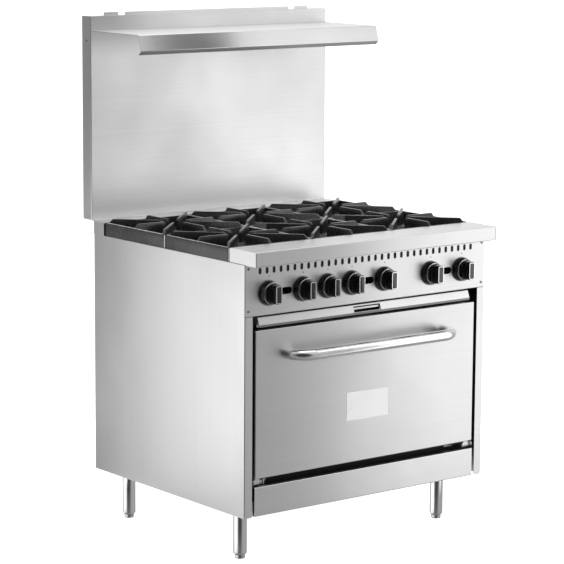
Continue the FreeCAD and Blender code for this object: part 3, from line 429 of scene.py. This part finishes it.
def tube(bm, points, radius, sides=32, closed=False):
    """Sweeps a circle along the points, turning it no more than the line itself turns."""
    points = [Vector(point) for point in points]
    count = len(points)
    rings = []
    side = None
    for index, point in enumerate(points):
        before = points[(index - 1) % count] if closed or index else point
        after = points[(index + 1) % count] if closed or index < count - 1 else point
        way = (after - before).normalized()
        if side is None:
            side = way.orthogonal().normalized()
        side = (side - way * side.dot(way)).normalized()
        rings.append(ring(bm, point, side, way.cross(side), radius, sides))
    skin(bm, rings, closed)
    if not closed:
        cap_ends(bm, rings)


def brick(bm, low, high, bevel=0.0):
    """A block between two corners, with a bevel on its edges where one is asked for."""
    made = bmesh.ops.create_cube(bm, size=1.0)["verts"]
    low, high = Vector(low), Vector(high)
    for vert in made:
        vert.co = Vector((low[i] + (vert.co[i] + 0.5) * (high[i] - low[i]) for i in range(3)))
    if bevel:
        edges = {edge for vert in made for edge in vert.link_edges}
        bmesh.ops.bevel(bm, geom=list(edges), offset=bevel, segments=1, affect="EDGES",
                        profile=0.5, clamp_overlap=True)


def meshed(name, bm, material):
    """An object of the mesh, in one material."""
    mesh = bpy.data.meshes.new(name)
    bm.to_mesh(mesh)
    bm.free()
    mesh.materials.append(material)
    return placed(name, mesh)


def piece(name, bm, slot, body, replaced=(), material=None, smooth=SMOOTH_DEGREES):
    """Makes an object of the mesh, gives it its finish and sets it on a body."""
    bmesh.ops.recalc_face_normals(bm, faces=bm.faces)
    made = meshed(name, bm, material or MATERIALS[slot])
    made.data.polygons.foreach_set("use_smooth", [True] * len(made.data.polygons))
    made.data.set_sharp_from_angle(angle=math.radians(smooth))
    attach(made, body)
    if replaced:
        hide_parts(*replaced)


def softened(node, slot, body, width):
    """The CAD solid again, with the sharp edges of a casting or a pressing rounded off."""
    bm = bmesh.new()
    bm.from_mesh(nodes[node].data)
    weld(bm)
    bmesh.ops.dissolve_limit(bm, angle_limit=math.radians(1), verts=bm.verts, edges=bm.edges)
    sharp = [edge for edge in bm.edges
             if len(edge.link_faces) == 2 and edge.calc_face_angle(0) > math.radians(SMOOTH_DEGREES)]
    bmesh.ops.bevel(bm, geom=sharp, offset=width, segments=2, affect="EDGES", profile=0.5,
                    clamp_overlap=True)
    weld(bm)
    piece(f"{node}_form", bm, slot, body, [node])


# ---------------------------------------------------------------- pieces

def oblong(bm, centre, half_width, half_height, radius, steps=6):
    """A ring of vertices round an upright rectangle whose corners are rounded."""
    verts = []
    for index, (side, level) in enumerate(((1, 1), (-1, 1), (-1, -1), (1, -1))):
        for step in range(steps + 1):
            angle = math.pi / 2 * (index + step / steps)
            verts.append(bm.verts.new(centre + Vector((
                side * (half_width - radius) + radius * math.cos(angle), 0,
                level * (half_height - radius) + radius * math.sin(angle)))))
    return verts


def loft(bm, centre, sections, closed=False):
    """Skins upright rounded rectangles: (distance out, half width, half height, corner radius)."""
    rings = [oblong(bm, centre - Vector((0, out, 0)), *size) for out, *size in sections]
    skin(bm, rings, closed)
    if not closed:
        cap_ends(bm, rings)


def make_knob(node, x):
    """A deep skirt and a grip across it, each with a bright line round its face."""
    body = f"{node}_body"
    centre = Vector((x, FRONT, KNOB_HEIGHT))
    skirt = [(0, 0.0012), (0.0352, 0.0012), (0.0366, 0.0018), (0.0370, 0.0032), (0.0367, 0.0050),
             (0.0346, 0.0115), (0.0322, 0.0178), (0.0316, 0.0188), (0.0307, 0.0194),
             (0.0297, 0.0196), (0.0200, 0.0200), (0, 0.0204)]
    grip = [(0.0185, 0.0142, 0.0290, 0.0078), (0.0206, 0.0132, 0.0282, 0.0070),
            (0.0240, 0.0124, 0.0277, 0.0062), (0.0290, 0.01215, 0.0274, 0.0060),
            (0.0455, 0.0118, 0.0270, 0.0058), (0.0469, 0.0114, 0.0266, 0.0055),
            (0.0477, 0.0106, 0.0258, 0.0050), (0.0479, 0.0098, 0.0250, 0.0045)]
    bm = bmesh.new()
    lathe(bm, skirt, centre, "-y", sides=72)
    loft(bm, centre, grip)
    piece(f"{node}_form", bm, "knob_plastic", body, [node])

    grip_line = [(0.0476, 0.0104, 0.0256, 0.0048), (0.0480, 0.0103, 0.0255, 0.0047),
                 (0.0480, 0.0082, 0.0234, 0.0026), (0.0476, 0.0081, 0.0233, 0.0025)]
    skirt_line = [(0.0318, 0.0184), (0.0318, 0.0192), (0.0309, 0.0198), (0.0306, 0.0192),
                  (0.0318, 0.0184)]
    bm = bmesh.new()
    loft(bm, centre, grip_line, closed=True)
    lathe(bm, skirt_line, centre, "-y", sides=72, ends=False)
    piece(f"{node}_trim", bm, "handle_chrome", body)


def make_handle():
    """A stout chromed tube, bent back into the door at both ends."""
    low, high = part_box("door_handle")
    radius, bend, sunk = 0.0165, 0.059, 0.0005
    half, height = high.x - radius, (low.z + high.z) / 2
    front, back = low.y + radius, high.y + sunk
    bm = bmesh.new()
    tube(bm, bent([(-half, back, height), (-half, front, height), (half, front, height),
                   (half, back, height)], bend, steps=24), radius, sides=56)
    piece("door_handle_tube", bm, "handle_chrome", "door", ["door_handle"], smooth=40)


def make_painted_edge_highlights():
    """Pale strips along the top edges of each grate's side walls and up its front corners: painted
    highlights on the rounded edges.
    """
    edge_inset, end_inset, corner_inset = 0.0015, 0.0095, 0.0038
    for grate in (f"grate_{column}_{row}" for column in COLUMNS for row in ROWS):
        low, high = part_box(grate)
        rim = low.z + GRATE_RIM
        front, back, corner_y = low.y + end_inset, high.y - end_inset, low.y + corner_inset
        bm = bmesh.new()
        for edge, corner in ((low.x + edge_inset, low.x + corner_inset),
                             (high.x - edge_inset, high.x - corner_inset)):
            tube(bm, [(edge, front, rim - 0.0002), (edge, back, rim - 0.0002)], 0.0014, sides=16)
            tube(bm, [(corner, corner_y, low.z + 0.0015), (corner, corner_y, rim - 0.0020)], 0.0022,
                 sides=16)
        # the pale strips are painted highlights on the grate's edges
        piece(grate.replace("grate", "painted_edge_highlights"), bm, "grate_iron", f"{grate}_body",
              material=MATERIALS["highlight_iron"])


def make_legs():
    """Hollow legs under the chassis, and a foot on a stem that screws into each of them."""
    leg = [(0.0081, 0.0121), (0.0160, 0.0121), (0.0168, 0.0125), (0.0203, 0.0165), (0.0206, 0.0175),
           (0.0206, 0.1534), (0.0176, 0.1534), (0.0176, 0.1700), (0.0156, 0.1700), (0.0156, 0.0330),
           (0.0081, 0.0330), (0.0081, 0.0121)]
    foot = [(0, 0), (0.0120, 0), (0.0138, 0.0006), (0.0148, 0.0020), (0.0150, 0.0040),
            (0.0150, 0.0104), (0.0140, 0.0115), (0.0080, 0.0117), (0.0080, 0.0790),
            (0.0066, 0.0800), (0, 0.0800)]
    bm = bmesh.new()
    for side in SIDES:
        for y in LEG_ROWS.values():
            lathe(bm, leg, (side * LEG_X, y, 0), sides=56, ends=False)
    weld(bm)
    piece("leg_tubes", bm, "leg_steel", "range_body", ["legs"])
    for row, y in LEG_ROWS.items():
        for name, x in (("left", -LEG_X), ("right", LEG_X)):
            node = f"foot_{row}_{name}"
            bm = bmesh.new()
            lathe(bm, foot, (x, y, 0), sides=40)
            piece(f"{node}_form", bm, "foot_steel", f"{node}_body", [node])


def crown(bm, x, y, radius, height, port_depth=0.0):
    """A circle of vertices where every other pair is stepped in by the depth of a port."""
    ports, per_port = 30, 4
    sides = ports * per_port
    verts = []
    for i in range(sides):
        turn = 2 * math.pi * i / sides
        reach = radius - (port_depth if i % per_port >= per_port // 2 else 0)
        verts.append(bm.verts.new((x + reach * math.cos(turn), y + reach * math.sin(turn), height)))
    return verts


def make_burner_heads():
    """Cast heads with a crown of ports under the rim and an open throat."""
    port_depth = 0.0022
    head = [(0.0300, 0.8681), (0.0300, 0.8755), (0.0425, 0.8872), (0.0438, 0.8885),
            (0.0438, 0.8925), (0.0438, 0.8930, port_depth), (0.0438, 0.8980, port_depth),
            (0.0438, 0.8985), (0.0436, 0.9005), (0.0365, 0.9076), (0.0350, 0.9080),
            (0.0232, 0.9080), (0.0218, 0.9070), (0.0122, 0.8905), (0.0080, 0.8903)]
    bm = bmesh.new()
    for x in COLUMNS.values():
        for y in ROWS.values():
            rings = [crown(bm, x, y, *step) for step in head]
            skin(bm, rings)
            cap_ends(bm, rings)
    piece("burner_head_castings", bm, "burner_iron", "range_body", ["burner_heads"])


def make_springs():
    """A torsion spring beside each door hinge, coiled about the hinge pin."""
    pin_y, pin_height = FRONT + 0.012, 0.253
    turns, steps, length, radius = 3.5, 24, 0.0088, 0.0068
    count = int(turns * steps)
    bm = bmesh.new()
    for side in SIDES:
        start = side * 0.402 + 0.0045
        line = []
        for i in range(count + 1):
            angle = 2 * math.pi * i / steps
            line.append((start + length * i / count, pin_y + radius * math.cos(angle),
                         pin_height + radius * math.sin(angle)))
        tube(bm, line, 0.0011, sides=10)
    piece("door_spring_coils", bm, "hinge_steel", "range_body", ["door_springs"])


def make_screws():
    """Domed heads with a dimple: on the control panel, the back panel and the riser's sides."""
    front_x, back_x, riser_x = 0.444, 0.4445, 0.4570
    front_heights, back_heights, riser_height = (0.877, 0.755), (0.230, 0.520, 0.860), 1.476
    places = []
    for side, outward in zip(SIDES, ("-x", "x")):
        places += [((side * front_x, FRONT, height), "-y", 0.0018) for height in front_heights]
        places += [((side * back_x, BACK, height), "y", 0.0020) for height in back_heights]
        places.append(((side * riser_x, BACK + 0.033, riser_height), outward, 0.0002))
    bm = bmesh.new()
    for centre, axis, rise in places:
        lathe(bm, [(0.0040, 0), (0.0040, rise * 0.4), (0.0034, rise * 0.8), (0.0022, rise),
                   (0.0011, rise), (0.0006, rise * 0.3), (0, rise * 0.3)], centre, axis, sides=24)
    piece("panel_screw_heads", bm, "screw_steel", "range_body", ["panel_screws"])


def make_index_dots():
    """A printed dot above each knob."""
    places = [x + KNOB_SHIFT + side * KNOB_OFFSET for x in COLUMNS.values() for side in SIDES]
    height, dot = KNOB_HEIGHT + 0.0481, [(0.0018, -0.0001), (0.0018, 0.0001), (0, 0.00015)]
    bm = bmesh.new()
    for x in places + [THERMOSTAT_X]:
        lathe(bm, dot, (x, FRONT, height), "-y", sides=16)
    piece("index_dots", bm, "knob_plastic", "range_body")


def hoop(half, y, low, high, bend, steps):
    """The centre line of an upright rectangle with bent corners, ready to be swept closed."""
    return bent([(0, y, high), (half, y, high), (half, y, low), (-half, y, low), (-half, y, high),
                 (0, y, high)], bend, steps)[:-1]


def make_gasket():
    """Braided rope round the oven mouth."""
    half, low, high, bend, radius = 0.3466, 0.2810, 0.6570, 0.018, 0.0036
    bm = bmesh.new()
    tube(bm, hoop(half, FRONT + 0.0462, low, high, bend, 8), radius, sides=20, closed=True)
    piece("door_gasket_rope", bm, "gasket", "range_body", ["door_gasket"])


def make_gas_line():
    """Tubing from the thermostat, down beside the oven and up to the burner under its floor."""
    x, y, outlet, top = THERMOSTAT_X, FRONT + 0.052, KNOB_HEIGHT + 0.0453, KNOB_HEIGHT + 0.056
    wall, run, low, burner = -0.4352, FRONT + 0.072, 0.222, 0.264
    bend, radius = 0.0045, 0.005
    bm = bmesh.new()
    tube(bm, bent([(x, y, outlet), (x, y, top), (x, run, top), (wall, run, top), (wall, run, low),
                   (0, run, low), (0, run, burner), (0, run + 0.008, burner)], bend, steps=6),
         radius, sides=20)
    piece("oven_gas_tube", bm, "tubing_aluminium", "range_body", ["oven_gas_line"])


def make_blanket(node, body, name):
    """Mineral wool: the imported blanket's block, remeshed and given a lumpy surface."""
    voxel, depth, lumps, fine_lumps = 0.012, 0.0012, 45, 130
    copy = placed(name, nodes[node].data.copy())
    remesh = copy.modifiers.new("remesh", "REMESH")
    remesh.mode = "VOXEL"
    remesh.voxel_size = voxel
    bpy.context.view_layer.update()
    mesh = bpy.data.meshes.new_from_object(copy.evaluated_get(bpy.context.evaluated_depsgraph_get()))
    bpy.data.objects.remove(copy)
    bm = bmesh.new()
    bm.from_mesh(mesh)
    bpy.data.meshes.remove(mesh)
    for vert in bm.verts:
        lump = noise.noise(vert.co * lumps) + 0.5 * noise.noise(vert.co * fine_lumps)
        vert.co -= vert.normal * depth * (1 + lump)
    piece(name, bm, "insulation", body, [node], smooth=80)


def make_scoop():
    """The tray's finger scoop: a near-black lining that paints the shade in the recess, and a bright
    tongue of sheet that the fingers pull on.

    The tongue's face stands upright at the top and then slopes away; its lower edge runs up to the
    right, so more of the lining's painted shade shows on that side.
    """
    half, low, high, gauge = 0.0508, 0.7102, 0.7278, 0.0004
    front, back = FRONT + 0.0130, FRONT + 0.0448
    bm = bmesh.new()
    shell = []
    for y, inset in ((front, 0), (back, 0), (back - gauge, gauge), (front, gauge)):
        shell.append([bm.verts.new((x, y, z)) for x, z in (
            (-half + inset, low + inset), (half - inset, low + inset),
            (half - inset, high - inset), (-half + inset, high - inset))])
    skin(bm, shell, closed=True)
    for end in shell[1:3]:
        cap(bm, [bm.verts.new(vert.co) for vert in end])
    weld(bm)
    # the lining's near-black is painted shade: it stands in for the shade inside the scoop
    piece("scoop_shade_lining", bm, "frame_dark", "tray")

    bm = bmesh.new()
    reach, left, right = half - 0.0006, 0.7106, 0.7172
    rings = [[bm.verts.new(corner) for corner in (
        (-reach, front + near, top), (reach, front + near, top), (reach, front + near, fold),
        (reach, front + far, right), (-reach, front + far, left), (-reach, front + near, fold))]
        for near, far, top, fold in ((0.0006, 0.0050, 0.7238, 0.7184),
                                     (0.0012, 0.0056, 0.7238, 0.7186))]
    skin(bm, rings)
    for corners in rings:
        for face in ((0, 1, 2, 5), (5, 2, 3, 4)):
            cap(bm, [corners[i] for i in face])
    piece("scoop_tongue", bm, "tray_stainless", "tray")


def make_tray_hem():
    """The lip's bottom hem, in a darkened steel that paints the shade under the lip."""
    low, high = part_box("drip_tray")
    inset, near, far, bottom, top = 0.0001, 0.0006, 0.0001, 0.0017, 0.0080
    bm = bmesh.new()
    brick(bm, (low.x + inset, low.y - near, low.z + bottom), (high.x - inset, low.y - far, low.z + top))
    # the darkened steel is painted shade, for the shade under the tray's lip
    piece("tray_hem", bm, "tray_stainless", "tray", material=MATERIALS["seam_and_shade_steel"])


def make_vent_shade_strip():
    """A matt black strip close behind the vent slots: painted shade, so the slots look into darkness.
    """
    slots, reach, front, gauge = 0.868, 0.012, FRONT + 0.0021, 0.0005
    bm = bmesh.new()
    brick(bm, (-0.412, front, slots - reach), (0.408, front + gauge, slots + reach))
    # the black strip is painted shade behind the slots
    piece("vent_shade_strip", bm, "frame_dark", "range_body")


def make_riser_sill():
    """The strip that closes the gap between the rear trim and the foot of the riser."""
    half, low, high = 0.4550, 0.9266, 0.9288
    bm = bmesh.new()
    brick(bm, (-half, BACK + 0.0004, low), (half, BACK + 0.0116, high))
    piece("riser_sill", bm, "riser_stainless", "range_body")


def make_ledge_seams():
    """The seam between the ledge's folded sheet and the cap that closes each end of it."""
    ledge_low, ledge_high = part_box("front_ledge")
    front, back = ledge_low.y - 0.0001, ledge_low.y + 0.0004
    low, high = ledge_low.z + 0.0025, ledge_high.z - 0.0025
    seam_x, half_width = 0.4546, 0.0008
    bm = bmesh.new()
    for seam in (side * seam_x for side in SIDES):
        brick(bm, (seam - half_width, front, low), (seam + half_width, back, high))
    piece("ledge_seams", bm, "front_stainless", "range_body", material=MATERIALS["seam_and_shade_steel"])


def make_badge():
    """A plain plate with a thin raised rim; it carries no lettering."""
    low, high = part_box("door_badge")
    bm = bmesh.new()
    brick(bm, (low.x, low.y + 0.0003, low.z), (high.x, high.y, high.z), bevel=0.0003)
    piece("badge_plate", bm, "badge_plate", "door", ["door_badge"])
    inset, radius = 0.0016, 0.0004
    line = hoop(high.x - inset, low.y + radius, low.z + inset, high.z - inset, 0.002, 5)
    bm = bmesh.new()
    tube(bm, line, radius, sides=8, closed=True)
    piece("badge_rim", bm, "handle_chrome", "door")


# ---------------------------------------------------------------- studio

def make_light(name, place, target, size, radiance):
    """A soft box of a width and height, as bright all over as the radiance says."""
    data = bpy.data.lights.new(name, "AREA")
    data.shape = "RECTANGLE"
    data.size, data.size_y = size
    data.energy = radiance * math.pi * size[0] * size[1]
    light = placed(name, data)
    turn = (Vector(target) - Vector(place)).to_track_quat("-Z", "Y")
    light.matrix_world = Matrix.Translation(place) @ turn.to_matrix().to_4x4()
    light.visible_camera = False


def make_world():
    """A soft studio all round: lightest overhead and behind the range, darkest behind the camera."""
    world = bpy.data.worlds.new("studio")
    bpy.context.scene.world = world
    graph = Nodes(world)
    output = graph.add("ShaderNodeOutputWorld")
    background = graph.add("ShaderNodeBackground")
    place = graph.add("ShaderNodeTexCoord").outputs["Generated"]

    def towards(direction):
        dot = graph.add("ShaderNodeVectorMath", operation="DOT_PRODUCT")
        dot.inputs[1].default_value = direction
        graph.link(place, dot.inputs[0])
        return dot.outputs["Value"]

    def combined(operation, first, second):
        both = graph.add("ShaderNodeMath", operation=operation)
        graph.link(first, both.inputs[0])
        graph.link(second, both.inputs[1])
        return both.outputs[0]

    right_front, up, beyond = (0.61, -0.79, 0.0), (0, 0, 1), (0.60, 0.78, 0.17)
    behind_camera = (-0.62, -0.78, 0.05)
    total = graph.spread(towards(right_front), 0.27, 0.46, -1.0, 1.0)
    for direction, low, high, from_low, from_high in ((up, 0.0, 0.45, 0.15, 1.0),
                                                      (up, 0.0, -0.08, -0.45, -0.85),
                                                      (beyond, 0.0, 0.66, 0.55, 0.95)):
        level = graph.spread(towards(direction), low, high, from_low, from_high)
        total = combined("ADD", total, level)
    dimming = graph.spread(towards(behind_camera), 1.0, 0.12, 0.66, 0.90)
    graph.link(combined("MULTIPLY", total, dimming), background.inputs["Color"])
    graph.link(background.outputs[0], output.inputs[0])


def make_floor():
    """A white floor that lights itself, and that the range's bright metal doesn't mirror."""
    radius, drop = 60.0, 0.0002
    graph = Graph("floor").set(Roughness=0.9, Specular_IOR_Level=0.1, Emission_Strength=1.0,
                               Emission_Color=(1, 1, 1, 1))
    graph.colour(graph.blend(graph.spread(graph.noise(2.0), 0, 1), grey(0.80), grey(0.82)))
    bm = bmesh.new()
    cap(bm, ring(bm, Vector((0, 0, -drop)), Vector((1, 0, 0)), Vector((0, 1, 0)), radius, 64))
    floor = meshed("floor", bm, graph.material)
    floor.visible_glossy = False


def make_flags():
    """Black cards that show only as reflections in the left end of the shelf and above it."""
    bm = bmesh.new()
    brick(bm, (-0.46, -0.042, 1.24), (-0.20, -0.040, 1.40))
    brick(bm, (-0.26, -0.042, 1.45), (0.02, -0.040, 1.72))
    flags = meshed("flags", bm, MATERIALS["frame_dark"])
    flags.visible_camera = flags.visible_diffuse = flags.visible_shadow = False


def make_studio():
    """The world, the floor and the flags, then soft boxes: place, target, size and radiance."""
    make_world()
    make_floor()
    make_flags()
    make_light("right_card", (1.43, -1.25, 1.05), (1.43, 0, 1.05), (1.55, 2.7), 1.05)
    make_light("left_card", (-1.15, 0.40, 0.41), (0, 0.40, 0.41), (1.25, 1.05), 1.28)
    make_light("top_card", (-0.2, -0.2, 3.0), (-0.2, -0.2, 0), (2.4, 2.4), 1.1)
    make_light("wash_card", (0.15, -0.03, 0.99), (0.15, 0.40, 0.99), (1.05, 0.14), 0.78)
    make_light("under_shelf_card", (-0.2, 0.12, 1.40), (-0.2, 0.40, 1.40), (0.8, 0.08), 0.40)
    for x, row in ((-LEG_X, "front"), (-LEG_X, "rear"), (LEG_X, "front")):
        make_light(f"leg_card_{row}_{'left' if x < 0 else 'right'}",
                   (x - 0.125, LEG_ROWS[row] + 0.055, 0.02), (x, LEG_ROWS[row], 0.02),
                   (0.20, 0.15), 1.1)


# ---------------------------------------------------------------- assembly

make_camera()

for entry in frame["record"]["subparts"]:
    node = nodes[entry["node"]]
    node.data.materials.clear()
    node.data.materials.append(MATERIALS[entry["material_slot"]])

# a column's left knob works its front burner, and its right knob the rear one
for column, x in COLUMNS.items():
    for row, side in zip(ROWS, SIDES):
        make_knob(f"burner_knob_{column}_{row}", x + KNOB_SHIFT + side * KNOB_OFFSET)
    for row in ROWS:
        softened(f"grate_{column}_{row}", "grate_iron", f"grate_{column}_{row}_body", 0.0012)
make_knob("oven_knob", THERMOSTAT_X)
make_painted_edge_highlights()
make_handle()
make_legs()
make_burner_heads()
make_springs()
make_screws()
make_index_dots()
make_gasket()
make_gas_line()
make_badge()
make_scoop()
make_tray_hem()
make_vent_shade_strip()
make_riser_sill()
make_ledge_seams()
make_blanket("oven_insulation", "range_body", "oven_blanket")
make_blanket("door_insulation", "door", "door_blanket")
for node in ("gas_valves", "oven_thermostat"):
    softened(node, "valve_brass", "range_body", 0.0010)

make_studio()
bpy.context.scene.view_settings.view_transform = "Standard"
